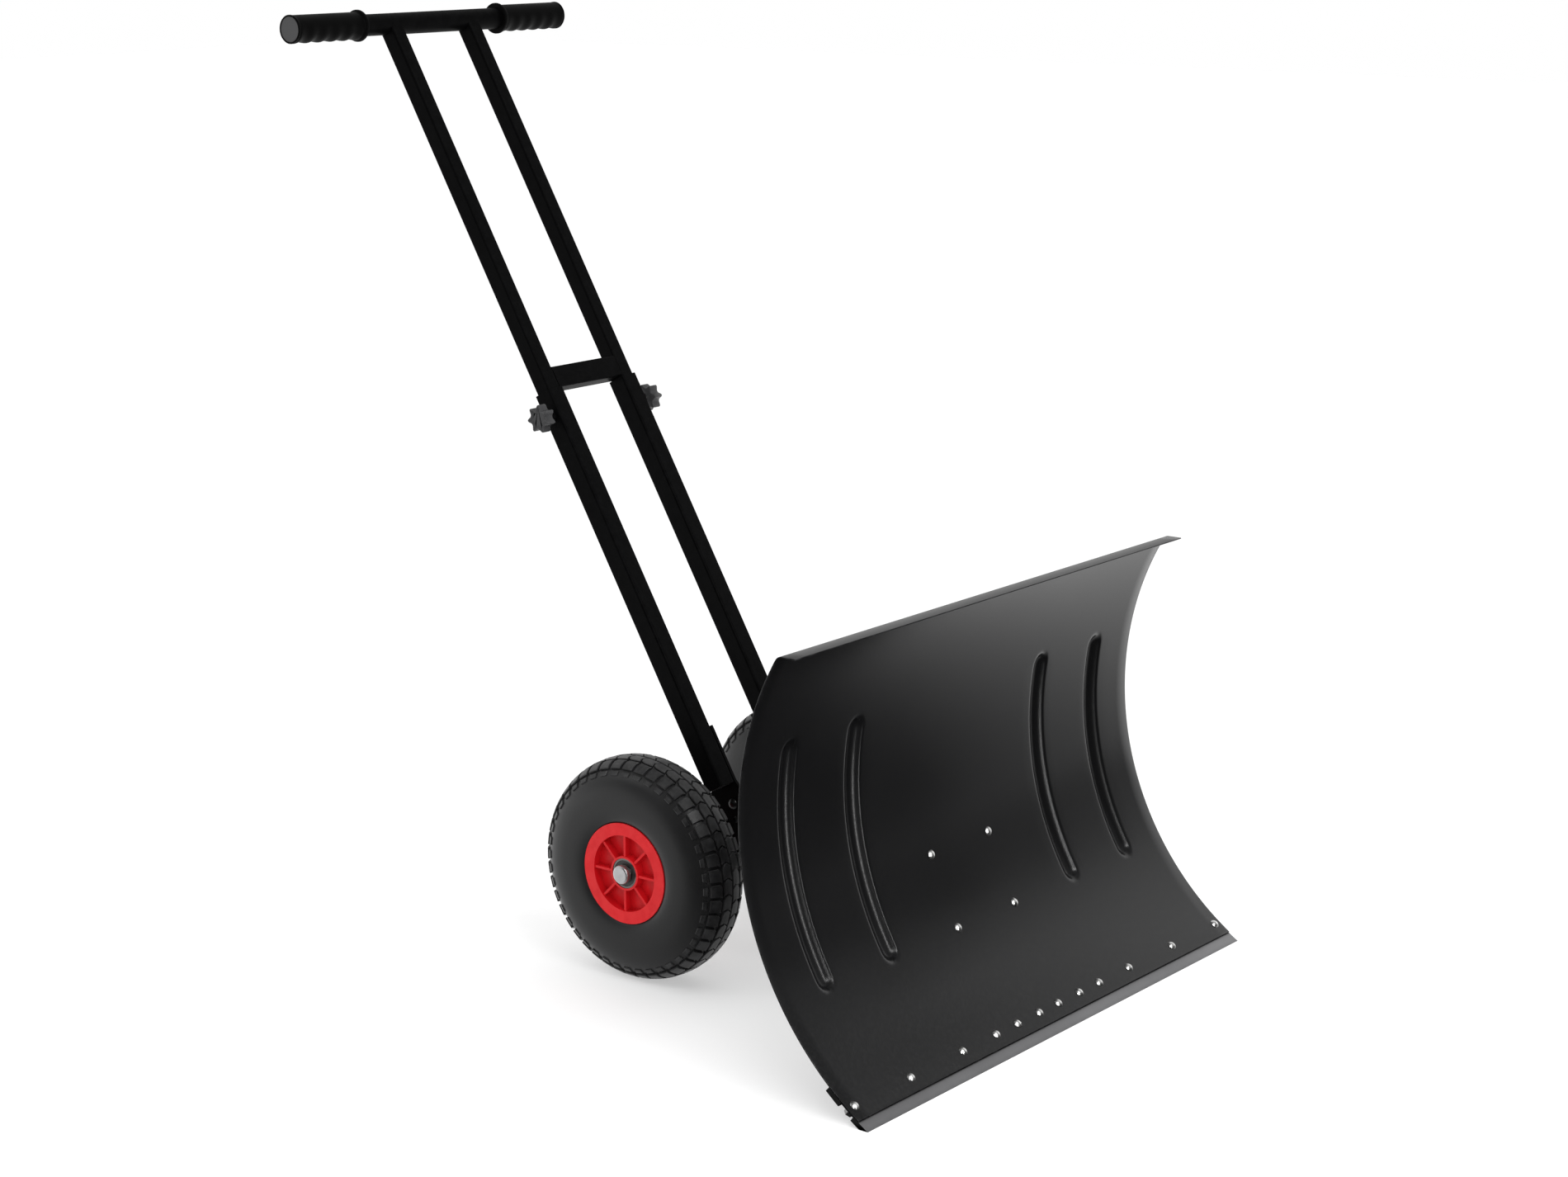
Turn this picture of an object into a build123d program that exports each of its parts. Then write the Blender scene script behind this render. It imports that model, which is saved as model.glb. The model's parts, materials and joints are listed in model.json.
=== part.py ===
from build123d import *
from build123d.topology import SkipClean
from math import asin, cos, degrees, radians, sin
import os

# Wheeled snow pusher: a curved steel blade on a two-wheel carriage, pushed by a telescopic T handle.
# Millimetres, +Z up, the blade faces -Y, X runs across. The operator stands behind, on the +Y side,
# so left is +X and right is -X. The origin is on the ground under the middle of the whole object.

# ---------------------------------------------------------------- driving dimensions

# Blade: a sheet bent to one radius, its centre of curvature in front of it
BLADE_WIDTH = 740.0
BLADE_Y = -309.5            # deepest point of the blade's front face
BLADE_RADIUS = 344.5        # front face
BLADE_CENTRE_Z = 295.4
BLADE_LOW = -56.2           # ends of the arc, degrees above level
BLADE_HIGH = 31.2
SHEET = 1.5
LIP_LENGTH = 21.0           # top edge folded forward to level
LIP_BEND = 8.0              # inside radius of the fold

# Pressed ribs that stiffen the sheet
RIB_X = (-292.0, -177.5, 177.5, 292.0)
RIB_LOW = -31.4
RIB_HIGH = 9.2
RIB_RADIUS = 15.0
RIB_DEPTH = 7.0

# Wear strip bolted behind the blade's bottom edge
STRIP_THICKNESS = 6.0
STRIP_TOP_ANGLE = -48.5
STRIP_BOLT_ANGLE = -53.4
STRIP_NOTCH = 19.0          # notch cut in each end, level with the end bolts
STRIP_NOTCH_DEPTH = 6.0
STRIP_BOLT_X = (19.0, 62.0, 103.0, 166.0, 260.6, 358.4)

# Bracket that carries the blade on its upright pivot
BRACKET_WIDTH = 150.0
BRACKET_THICKNESS = 4.0
BRACKET_LOW = -38.5
BRACKET_HIGH = -13.5
BRACKET_BOLT_X = 55.3
BRACKET_BOLT_ANGLES = (-18.8, -32.9)

# Upright pivot of the blade
PIVOT_Y = BLADE_Y + 57.0
PIVOT_PIN = 16.0
PIVOT_BUSH = 21.0
SLEEVE = 34.0
SLEEVE_LOW = 127.0
SLEEVE_HIGH = 165.0
THRUST_WASHER = 1.7
EAR = 6.0
EAR_GAP = 2.0               # sleeve end to ear, the thrust washer included
EAR_ROUND = 22.0
SECTOR_RADIUS = 100.0
SECTOR_HALF_ANGLE = 46.0
SLOT_RADIUS = 85.0
SLOT_WIDTH = 11.0
SLOT_HALF_ANGLE = 31.0

# Drawbar between the pivot sleeve and the carriage
DRAWBAR_WIDTH = 40.0
DRAWBAR_LOW = 131.0
DRAWBAR_HIGH = 161.0
DRAWBAR_WALL = 2.5
FLANGE_THICKNESS = 5.0
FLANGE_WIDTH = 78.0
FLANGE_LOW = 104.0
FLANGE_HIGH = 188.0
FLANGE_BOLT_X = 28.0
FLANGE_BOLT_Z = (116.0, 176.0)
CLAMP_BOLT = 10.0

# Carriage bracket: a steel channel bent from one plate
CARRIAGE_Y = BLADE_Y + 241.0     # front face of its web
CARRIAGE_PLATE = 4.0
CARRIAGE_LOW = 98.0
CARRIAGE_HIGH = 200.0
TONGUE = 70.0                    # length of plate lying along each lower tube
TIE_BOLT = (BLADE_Y + 261.0, 190.0)
SPARE_HOLE = (BLADE_Y + 257.0, 172.0)

# Wheels and axle
WHEEL_DIAMETER = 260.0
AXLE_Y = BLADE_Y + 312.0
AXLE_Z = WHEEL_DIAMETER / 2
AXLE = 15.0
WHEEL_X = 151.5                  # middle plane of each wheel
TYRE_HALF = 37.5
RIM_FLANGE = 117.4
RIM_HALF = 35.0
RIM_SEAT = 106.0                 # diameter that the tyre sits on
RIM_MOUTH = 88.8
HUB = 40.0
HUB_HALF = 34.3
WEB_OUTSIDE = 24.0               # the web's outer face, measured out from the wheel's middle plane
WEB_THICKNESS = 4.0
RIM_RIBS = 8
RIM_RIB = 2.8
BEARING_OUTER = 35.0
BEARING_WIDTH = 11.0
BEARING_FACE = 33.5              # outer end of each bearing, measured from the middle plane
BALLS = 8
BALL = 5.9
BALL_CIRCLE = 24.8
RING_WALL = 2.5

# Handle: square tubes leaning back, the upper pair sliding in the lower pair
LEAN = 30.4                      # degrees back from upright
TUBE_X = 65.3
TUBE_FOOT_Y = BLADE_Y + 269.0    # centre of the lower tube's bottom end
TUBE_FOOT_Z = 211.0
LOWER_TUBE = 25.0
LOWER_WALL = 1.2
LOWER_CORNER = 3.0
LOWER_LENGTH = 501.0
UPPER_TUBE = 20.0
UPPER_WALL = 1.5
UPPER_CORNER = 2.0
INSERTION = 330.0                # upper tube inside the lower one, handle right down
GUIDE_LENGTH = 60.0
GUIDE_GAP = 0.3
CROSSBAR_GAP = 0.5
CROSSBAR_HEIGHT = 26.0
HANDLEBAR = 25.4
HANDLEBAR_WALL = 2.0
HANDLEBAR_AT = 979.7             # along the tubes, from the lower tube's bottom end
GRIP_START = 116.0
GRIP_END = 227.0
GRIP = 32.0
GRIP_FLANGE = 37.0
GRIP_CAP = 4.0

# Star knobs that clamp the upper tubes
KNOB_AT = LOWER_LENGTH - 30.0
KNOB_STUD = 8.0
KNOB_DIAMETER = 33.0
KNOB_THICKNESS = 13.0
KNOB_STANDOFF = 11.5             # knob's inner face, out from the tube's face
SWIVEL_KNOB_DIAMETER = 46.0
LOBES = 7

FIT = 0.05                       # radial clearance of a pin or stud that turns
AIR = 0.3                        # gap between faces of pieces that move past each other
LOOSE = 0.6                      # radial clearance of a bolt in a punched hole

SIDES = {"left": 1, "right": -1}

CENTRE_Y = BLADE_Y - BLADE_RADIUS
ACROSS = (1, 0, 0)
MID_MIN = (Align.CENTER, Align.CENTER, Align.MIN)


# ---------------------------------------------------------------- places and stock shapes

def blade_plane(x, radius, angle):
    """Plane on the blade's arc whose normal points away from the centre of curvature."""
    y = CENTRE_Y + radius * cos(radians(angle))
    z = BLADE_CENTRE_Z + radius * sin(radians(angle))
    return Plane(origin=(x, y, z), x_dir=ACROSS, z_dir=(0, cos(radians(angle)), sin(radians(angle))))


def arc_face(inner, outer, low, high):
    """Ring sector about the blade's centre of curvature, drawn in the YZ plane."""
    centre = (CENTRE_Y, BLADE_CENTRE_Z)
    near = CenterArc(centre, inner, low, high - low)
    far = CenterArc(centre, outer, low, high - low)
    sides = [Line(near @ 0, far @ 0), Line(near @ 1, far @ 1)]
    return make_face([near, far] + sides)


def across(face, width):
    """Extrude a YZ outline both ways along X to a total width."""
    return extrude(Plane.YZ * face, amount=width / 2, both=True)


def handle_plane(x, along, back=0.0):
    """Plane square to the handle's tubes; its local y points back and down."""
    y = TUBE_FOOT_Y + along * sin(radians(LEAN)) + back * cos(radians(LEAN))
    z = TUBE_FOOT_Z + along * cos(radians(LEAN)) - back * sin(radians(LEAN))
    return Plane(origin=(x, y, z), x_dir=ACROSS, z_dir=(0, sin(radians(LEAN)), cos(radians(LEAN))))


def handle_point(along, back=0.0):
    """The same place as handle_plane, as a point of the YZ plane."""
    origin = handle_plane(0, along, back).origin
    return (origin.Y, origin.Z)


def sideways(x, y, z, side):
    """Plane facing outwards to one side."""
    return Plane(origin=(x, y, z), x_dir=(0, side, 0), z_dir=(side, 0, 0))


def disc(radius, height, at=0.0):
    return Pos(0, 0, at) * Cylinder(radius, height, align=MID_MIN)


def ring(outer, inner, height, at=0.0):
    """Flat ring or sleeve standing on z = at, by radii."""
    return Pos(0, 0, at) * extrude(Circle(outer) - Circle(inner), amount=height)


def square_tube(size, wall, corner, length):
    outside = RectangleRounded(size, size, corner)
    inside = RectangleRounded(size - 2 * wall, size - 2 * wall, max(corner - wall, 0.4))
    return extrude(outside - inside, amount=length)


def hexagon(across_flats, height, at=0.0):
    return Pos(0, 0, at) * extrude(RegularPolygon(across_flats / 2, 6, major_radius=False), amount=height)


def dome_bolt(diameter, head, head_height, length):
    """Dome-headed bolt: the head sits above z = 0 and the shank goes down."""
    crown_radius = (head ** 2 / 4 + head_height ** 2) / (2 * head_height)
    crown = Pos(0, 0, head_height - crown_radius) * Sphere(crown_radius)
    dome = crown & disc(head / 2, head_height)
    return dome + disc(diameter / 2, length, -length)


def hex_bolt(diameter, length):
    """Hex-headed bolt: the head sits above z = 0 and the shank goes down."""
    head = hexagon(1.6 * diameter, 0.65 * diameter)
    return head + disc(diameter / 2, length, -length)


def nut(diameter, height):
    """Hex nut standing on z = 0, its bore at the thread's size."""
    return hexagon(1.6 * diameter, height) - disc(diameter / 2, height)


def star_knob(diameter, thickness, bore):
    """Lobed hand knob standing on z = 0."""
    lobe = 0.125 * diameter
    outline = Circle(0.40 * diameter)
    for turn in range(LOBES):
        outline += Rot(0, 0, turn * 360 / LOBES) * Pos(diameter / 2 - lobe, 0) * Circle(lobe)
    body = extrude(outline, amount=thickness) + disc(0.22 * diameter, 2.0, -2.0)
    return body - disc(bore / 2, thickness + 2.0, -2.0)


# ---------------------------------------------------------------- blade

def rib_core(x, radius):
    """Round-ended bar bent to the blade's arc, which forms one pressed rib."""
    path_radius = BLADE_RADIUS - RIB_RADIUS + RIB_DEPTH
    start = blade_plane(x, path_radius, RIB_LOW)
    section = Plane(origin=start.origin, x_dir=ACROSS, z_dir=start.y_dir) * Circle(radius)
    axis = Axis((x, CENTRE_Y, BLADE_CENTRE_Z), ACROSS)
    core = revolve(section, axis, RIB_HIGH - RIB_LOW)
    for angle in (RIB_LOW, RIB_HIGH):
        core += Pos(blade_plane(x, path_radius, angle).origin) * Sphere(radius)
    return core


def lip_bend():
    """Centre of the fold's bend in the YZ plane, and the arc angle at which the bend starts."""
    under = blade_plane(0, BLADE_RADIUS, BLADE_HIGH).origin.Z - SHEET / 2
    radius = BLADE_RADIUS - LIP_BEND
    start = asin((under - LIP_BEND - BLADE_CENTRE_Z) / radius)
    return (CENTRE_Y + radius * cos(start), under - LIP_BEND), degrees(start)


def blade_panel(x, left, right):
    """Part of the sheet between two upright lines, with one pressed rib at x."""
    outer = BLADE_RADIUS + SHEET
    high = lip_bend()[1]
    width = right - left
    place = Pos((left + right) / 2, 0, 0)
    panel = place * across(arc_face(BLADE_RADIUS, outer, BLADE_LOW, high), width)
    behind = place * across(arc_face(BLADE_RADIUS, outer + RIB_RADIUS, BLADE_LOW, high), width)
    panel += rib_core(x, RIB_RADIUS + SHEET) & behind
    return panel - rib_core(x, RIB_RADIUS)


def blade_lip():
    """Level lip and the bend below it."""
    centre, start = lip_bend()
    inside = CenterArc(centre, LIP_BEND, start, 90 - start)
    outside = CenterArc(centre, LIP_BEND + SHEET, start, 90 - start)
    front = blade_plane(0, BLADE_RADIUS, BLADE_HIGH).origin.Y - LIP_LENGTH
    tip_low = (front, centre[1] + LIP_BEND)
    tip_high = (front, centre[1] + LIP_BEND + SHEET)
    profile = make_face([inside, outside, Line(inside @ 0, outside @ 0), Line(inside @ 1, tip_low),
                         Line(tip_low, tip_high), Line(tip_high, outside @ 1)])
    return across(profile, BLADE_WIDTH)


def blade_sheet():
    """One sheet; its face stays divided between the ribs, so that each patch is simple."""
    between = (RIB_X[0] + RIB_X[1]) / 2
    lines = (-BLADE_WIDTH / 2, between, 0.0, -between, BLADE_WIDTH / 2)
    with SkipClean():
        sheet = blade_lip()
        for x, left, right in zip(RIB_X, lines, lines[1:]):
            sheet += blade_panel(x, left, right)
        for plane in strip_bolt_planes() + bracket_bolt_planes():
            sheet -= plane * disc(3.0 + LOOSE, 20.0, -10.0)
    return sheet


def strip_bolt_planes():
    places = sorted([-x for x in STRIP_BOLT_X] + list(STRIP_BOLT_X))
    return [blade_plane(x, BLADE_RADIUS, STRIP_BOLT_ANGLE) for x in places]


def bracket_bolt_planes():
    return [blade_plane(side * BRACKET_BOLT_X, BLADE_RADIUS, angle)
            for side in (-1, 1) for angle in BRACKET_BOLT_ANGLES]


def wear_strip():
    """Strip bent to the blade's back, its lower edge ground level with the ground."""
    near = BLADE_RADIUS + SHEET
    far = near + STRIP_THICKNESS
    low = -degrees(asin(BLADE_CENTRE_Z / far)) - 4.0
    strip = across(arc_face(near, far, low, STRIP_TOP_ANGLE), BLADE_WIDTH)
    strip -= Pos(0, CENTRE_Y, -100.0) * Box(2 * BLADE_WIDTH, 4 * BLADE_RADIUS, 200.0)
    for plane in strip_bolt_planes():
        strip -= plane * disc(3.0 + LOOSE, 20.0, -5.0)
    for side in (-1, 1):
        end = blade_plane(side * BLADE_WIDTH / 2, BLADE_RADIUS, STRIP_BOLT_ANGLE)
        strip -= end * Box(2 * STRIP_NOTCH_DEPTH, STRIP_NOTCH, 40.0)
    return strip


def bolt_set(planes, grip, tail):
    """Dome bolts put in from the blade's front, heads towards the snow."""
    bolt = dome_bolt(6.0, 11.0, 3.2, grip + tail)
    return [plane * Pos(0, 0, -0.05) * Rot(180, 0, 0) * bolt for plane in planes]


def nut_set(planes, grip):
    return [plane * Pos(0, 0, grip + 0.05) * nut(6.0, 5.0) for plane in planes]


def blade_bracket():
    """Curved backing plate with two ears for the pivot; the upper ear carries the arc slot."""
    near = BLADE_RADIUS + SHEET
    far = near + BRACKET_THICKNESS
    bracket = across(arc_face(near, far, BRACKET_LOW, BRACKET_HIGH), BRACKET_WIDTH)
    low_z = SLEEVE_LOW - EAR_GAP - EAR
    high_z = SLEEVE_HIGH + EAR_GAP
    in_front = across(arc_face(BLADE_RADIUS / 2, (near + far) / 2, -80.0, 80.0), 2 * BLADE_WIDTH)

    reach = PIVOT_Y - BLADE_Y + 60.0
    root = Pos(0, PIVOT_Y - reach / 2) * Rectangle(2 * EAR_ROUND, reach)
    ear = Pos(0, PIVOT_Y) * Circle(EAR_ROUND) + root
    lower = Pos(0, 0, low_z) * extrude(ear, amount=EAR)

    spread = radians(SECTOR_HALF_ANGLE)
    edge = (2 * SECTOR_RADIUS * sin(spread), 2 * SECTOR_RADIUS * cos(spread))
    wedge = Polygon((0, -30.0), edge, (-edge[0], edge[1]), align=None)
    sector = Pos(0, PIVOT_Y) * (Circle(SECTOR_RADIUS) & wedge) + ear
    slot_path = CenterArc((0, 0), SLOT_RADIUS, 90 - SLOT_HALF_ANGLE, 2 * SLOT_HALF_ANGLE)
    sector -= Pos(0, PIVOT_Y) * SlotArc(slot_path, SLOT_WIDTH)
    upper = Pos(0, 0, high_z) * extrude(sector, amount=EAR)

    for side in (-1, 1):
        x = side * (EAR_ROUND - EAR / 2)
        gusset = Pos(x, PIVOT_Y - reach / 2 - EAR_ROUND - 4.0, low_z - 16.0)
        web = gusset * Box(EAR, reach, 16.0, align=MID_MIN)
        lower += web
    bracket += (lower + upper) - in_front
    bracket -= Pos(0, PIVOT_Y) * disc(PIVOT_PIN / 2 + FIT, 100.0, 100.0)
    for plane in bracket_bolt_planes():
        bracket -= plane * disc(3.0 + LOOSE, 20.0, -5.0)
    return bracket


# ---------------------------------------------------------------- pivot and drawbar

def at_pivot(shape):
    return Pos(0, PIVOT_Y) * shape


def king_bolt():
    top = SLEEVE_HIGH + EAR_GAP + EAR
    length = top - SLEEVE_LOW + EAR_GAP + EAR + 20.0
    return at_pivot(Pos(0, 0, top + 2.5) * hex_bolt(PIVOT_PIN, length))


def king_washers():
    top = SLEEVE_HIGH + EAR_GAP + EAR
    bottom = SLEEVE_LOW - EAR_GAP - EAR
    washer = ring(15.0, PIVOT_PIN / 2 + FIT, 2.5)
    return [at_pivot(Pos(0, 0, z) * washer) for z in (top, bottom - 2.5)]


def king_nut():
    bottom = SLEEVE_LOW - EAR_GAP - EAR - 2.5
    return at_pivot(Pos(0, 0, bottom - 12.0) * nut(PIVOT_PIN, 12.0))


def pivot_bushes():
    """Two headless bushes pressed into the sleeve's ends."""
    length = 15.0
    bush = ring(PIVOT_BUSH / 2, PIVOT_PIN / 2 + FIT, length)
    return [at_pivot(Pos(0, 0, z) * bush) for z in (SLEEVE_LOW, SLEEVE_HIGH - length)]


def thrust_washers():
    washer = ring(15.5, PIVOT_PIN / 2 + 2 * FIT, THRUST_WASHER)
    return [at_pivot(Pos(0, 0, z) * washer) for z in (SLEEVE_LOW - THRUST_WASHER, SLEEVE_HIGH)]


def drawbar():
    """Box tube welded to the pivot sleeve in front and to a bolted flange behind."""
    flange_y = CARRIAGE_Y - FLANGE_THICKNESS
    length = flange_y - PIVOT_Y
    height = DRAWBAR_HIGH - DRAWBAR_LOW
    outside = Rectangle(DRAWBAR_WIDTH, height)
    inside = Rectangle(DRAWBAR_WIDTH - 2 * DRAWBAR_WALL, height - 2 * DRAWBAR_WALL)
    section = Plane(origin=(0, PIVOT_Y, (DRAWBAR_LOW + DRAWBAR_HIGH) / 2), x_dir=ACROSS, z_dir=(0, 1, 0))
    bar = extrude(section * (outside - inside), amount=length)
    front = PIVOT_Y - 30.0
    bar -= Pos(0, front + 15.0, DRAWBAR_LOW) * Box(80.0, 30.0, 2 * height)
    bar += at_pivot(disc(SLEEVE / 2, SLEEVE_HIGH - SLEEVE_LOW, SLEEVE_LOW))
    boss_height = SLEEVE_HIGH + EAR_GAP - AIR - DRAWBAR_HIGH
    bar += Pos(0, PIVOT_Y + SLOT_RADIUS) * disc(11.0, boss_height, DRAWBAR_HIGH)
    plate = Pos(0, flange_y + FLANGE_THICKNESS / 2, FLANGE_LOW)
    bar += plate * Box(FLANGE_WIDTH, FLANGE_THICKNESS, FLANGE_HIGH - FLANGE_LOW, align=MID_MIN)
    bar -= at_pivot(disc(PIVOT_BUSH / 2, 60.0, SLEEVE_LOW - 10.0))
    bar -= Pos(0, PIVOT_Y + SLOT_RADIUS) * disc(CLAMP_BOLT / 2 + FIT, 60.0, DRAWBAR_LOW - 10.0)
    for plane in flange_bolt_planes():
        bar -= plane * disc(4.0 + LOOSE, 20.0, -10.0)
    return bar


def flange_bolt_planes():
    """On the flange's front face, looking forward."""
    y = CARRIAGE_Y - FLANGE_THICKNESS
    return [Plane(origin=(side * FLANGE_BOLT_X, y, z), x_dir=ACROSS, z_dir=(0, -1, 0))
            for side in (-1, 1) for z in FLANGE_BOLT_Z]


def flange_bolts():
    grip = FLANGE_THICKNESS + CARRIAGE_PLATE
    return [plane * hex_bolt(8.0, grip + 9.0) for plane in flange_bolt_planes()]


def flange_nuts():
    grip = FLANGE_THICKNESS + CARRIAGE_PLATE
    return [plane * Pos(0, 0, -grip - 6.5) * nut(8.0, 6.5) for plane in flange_bolt_planes()]


def clamp_bolt():
    """Bolt up through the drawbar and the arc slot, for the swivel knob."""
    place = Pos(0, PIVOT_Y + SLOT_RADIUS, DRAWBAR_LOW) * Rot(180, 0, 0)
    return place * hex_bolt(CLAMP_BOLT, 66.0)


def swivel_knob_plane():
    z = SLEEVE_HIGH + EAR_GAP + EAR + AIR
    return Pos(0, PIVOT_Y + SLOT_RADIUS, z)


# ---------------------------------------------------------------- carriage

def carriage_bracket():
    """Front web and two side plates; a tongue on each side lies along the lower tube."""
    inner_face = TUBE_X - LOWER_TUBE / 2
    rear = AXLE_Y + 30.0
    side = Polygon(
        (CARRIAGE_Y, CARRIAGE_LOW), (CARRIAGE_Y, CARRIAGE_HIGH), handle_point(2.0, -LOWER_TUBE / 2),
        handle_point(TONGUE, -LOWER_TUBE / 2), handle_point(TONGUE, LOWER_TUBE / 2),
        handle_point(6.0, LOWER_TUBE / 2), (rear, AXLE_Z + 12.0), (AXLE_Y, CARRIAGE_LOW), align=None)
    side += Pos(AXLE_Y, AXLE_Z) * Circle(AXLE_Z - CARRIAGE_LOW)
    side -= Pos(AXLE_Y, AXLE_Z) * Circle(AXLE / 2 + FIT)
    side -= Pos(*TIE_BOLT) * Circle(4.0 + LOOSE)
    side -= Pos(*SPARE_HOLE) * Circle(3.5)
    bracket = across(side, 2 * inner_face) - across(side, 2 * (inner_face - CARRIAGE_PLATE))
    web = Box(2 * inner_face, CARRIAGE_PLATE, CARRIAGE_HIGH - CARRIAGE_LOW, align=MID_MIN)
    bracket += Pos(0, CARRIAGE_Y + CARRIAGE_PLATE / 2, CARRIAGE_LOW) * web
    for plane in flange_bolt_planes():
        bracket -= plane * disc(4.0 + LOOSE, 30.0, -20.0)
    return bracket


def tie_spacer():
    inside = TUBE_X - LOWER_TUBE / 2 - CARRIAGE_PLATE
    return sideways(-inside, *TIE_BOLT, 1) * ring(7.0, 4.0 + FIT, 2 * inside)


def tie_bolt():
    face = TUBE_X - LOWER_TUBE / 2
    return sideways(-face, *TIE_BOLT, -1) * dome_bolt(8.0, 13.0, 4.0, 2 * face + 9.0)


def tie_nut():
    face = TUBE_X - LOWER_TUBE / 2
    return sideways(face, *TIE_BOLT, 1) * nut(8.0, 6.5)


def axle():
    half = WHEEL_X + RIM_HALF + 4.5
    return sideways(-half, AXLE_Y, AXLE_Z, 1) * disc(AXLE / 2, 2 * half)


def wheel_plane(side, out):
    """Plane across the axle, at a distance out from the wheel's middle plane."""
    return sideways(side * (WHEEL_X + out), AXLE_Y, AXLE_Z, side)


def axle_spacers():
    """Tubes that hold the inner bearings away from the carriage."""
    start = TUBE_X - LOWER_TUBE / 2
    length = WHEEL_X - BEARING_FACE - start
    tube = ring(9.5, AXLE / 2 + FIT, length)
    return [sideways(side * start, AXLE_Y, AXLE_Z, side) * tube for side in SIDES.values()]


def axle_washers():
    return [wheel_plane(side, BEARING_FACE) * ring(9.5, AXLE / 2 + FIT, 2.0) for side in SIDES.values()]


def axle_caps():
    """Domed push-on caps over the axle's ends."""
    start = BEARING_FACE + 2.0
    cap_length = 7.0
    cap = disc(11.0, cap_length)
    cap = fillet(cap.edges().group_by(Axis.Z)[-1], 2.5)
    cap -= disc(AXLE / 2, RIM_HALF + 4.5 - start)
    return [wheel_plane(side, start) * cap for side in SIDES.values()]


def on_both_bearings(side, shape):
    """Place a bearing piece, drawn from its outward face back, at both ends of a hub."""
    outer = wheel_plane(side, BEARING_FACE - BEARING_WIDTH) * shape
    inner = wheel_plane(side, -BEARING_FACE) * shape
    return [outer, inner]


def ball_track(radius):
    """Groove that the balls run in, as a ring of round section."""
    section = Plane.XZ * Pos(BALL_CIRCLE / 2, BEARING_WIDTH / 2) * Circle(radius)
    return revolve(section, Axis.Z)


def inner_rings():
    race = ring(AXLE / 2 + FIT + RING_WALL, AXLE / 2 + FIT, BEARING_WIDTH) - ball_track(BALL / 2 + AIR)
    return [piece for side in SIDES.values() for piece in on_both_bearings(side, race)]


def outer_rings(side):
    race = ring(BEARING_OUTER / 2, BEARING_OUTER / 2 - RING_WALL, BEARING_WIDTH)
    return on_both_bearings(side, race - ball_track(BALL / 2 + FIT))


def bearing_balls(side):
    balls = []
    for number in range(BALLS):
        turn = Rot(0, 0, number * 360 / BALLS)
        place = Pos(BALL_CIRCLE / 2, 0, BEARING_WIDTH / 2)
        balls += on_both_bearings(side, turn * place * Sphere(BALL / 2))
    return balls


def bearing_seals(side):
    shield = ring(BEARING_OUTER / 2 - RING_WALL, AXLE / 2 + FIT + RING_WALL + AIR, 0.8)
    low = Pos(0, 0, 0.5) * shield
    high = Pos(0, 0, BEARING_WIDTH - 1.3) * shield
    return on_both_bearings(side, low) + on_both_bearings(side, high)


# ---------------------------------------------------------------- wheels

def rim(side):
    """Moulded rim: flanges, seat, ribbed web and hub with two bearing pockets."""
    half_flange = RIM_FLANGE / 2
    seat = RIM_SEAT / 2
    wall = 4.0
    outline = Polygon(
        (RIM_MOUTH / 2, RIM_HALF), (half_flange, RIM_HALF), (half_flange, RIM_HALF - wall),
        (seat, RIM_HALF - wall - 2.0), (seat, wall + 2.0 - RIM_HALF), (half_flange, wall - RIM_HALF),
        (half_flange, -RIM_HALF), (seat - wall, -RIM_HALF), (seat - wall, WEB_OUTSIDE - WEB_THICKNESS),
        (HUB / 2, WEB_OUTSIDE - WEB_THICKNESS), (HUB / 2, -HUB_HALF), (BEARING_OUTER / 2, -HUB_HALF),
        (BEARING_OUTER / 2, BEARING_WIDTH - BEARING_FACE), (AXLE / 2 + 5.0, BEARING_WIDTH - BEARING_FACE),
        (AXLE / 2 + 5.0, BEARING_FACE - BEARING_WIDTH), (BEARING_OUTER / 2, BEARING_FACE - BEARING_WIDTH),
        (BEARING_OUTER / 2, HUB_HALF), (HUB / 2, HUB_HALF), (HUB / 2 + 1.0, WEB_OUTSIDE),
        (RIM_MOUTH / 2, WEB_OUTSIDE), align=None)
    body = revolve(Plane.XZ * outline, Axis.Z)
    inner = HUB / 2 - 1.0
    outer = RIM_MOUTH / 2 + 1.5
    span = outer - inner
    low = 4.0 - RIM_HALF
    high = RIM_HALF - 1.5
    vane = Pos((inner + outer) / 2, 0, low) * Box(span, RIM_RIB, high - low, align=MID_MIN)
    long_vane = Pos((inner + seat - 2.0) / 2, 0, low)
    long_vane *= Box(seat - 2.0 - inner, RIM_RIB, WEB_OUTSIDE - 2.0 - low, align=MID_MIN)
    for number in range(RIM_RIBS):
        body += Rot(0, 0, number * 360 / RIM_RIBS) * (vane + long_vane)
    return wheel_plane(side, 0) * body


def tyre(side):
    """Solid foam tyre on the rim's seat, round-shouldered."""
    outside = WHEEL_DIAMETER / 2
    seat = RIM_SEAT / 2
    bead = (RIM_FLANGE / 2, RIM_HALF)
    heel = (RIM_FLANGE / 2, RIM_HALF - 4.0)
    toe = (seat, RIM_HALF - 6.0)
    shoulder = (outside - 15.0, TYRE_HALF - 5.5)
    wall = ThreePointArc(bead, (outside - 43.0, TYRE_HALF), shoulder)
    crown = ThreePointArc(shoulder, (outside, 0), (shoulder[0], -shoulder[1]))
    other_wall = ThreePointArc((shoulder[0], -shoulder[1]), (outside - 43.0, -TYRE_HALF), (bead[0], -bead[1]))
    inside = Polyline((bead[0], -bead[1]), (heel[0], -heel[1]), (toe[0], -toe[1]), toe, heel, bead)
    outline = make_face([wall, crown, other_wall, inside])
    return wheel_plane(side, 0) * revolve(Plane.XZ * outline, Axis.Z)


# ---------------------------------------------------------------- handle

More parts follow.
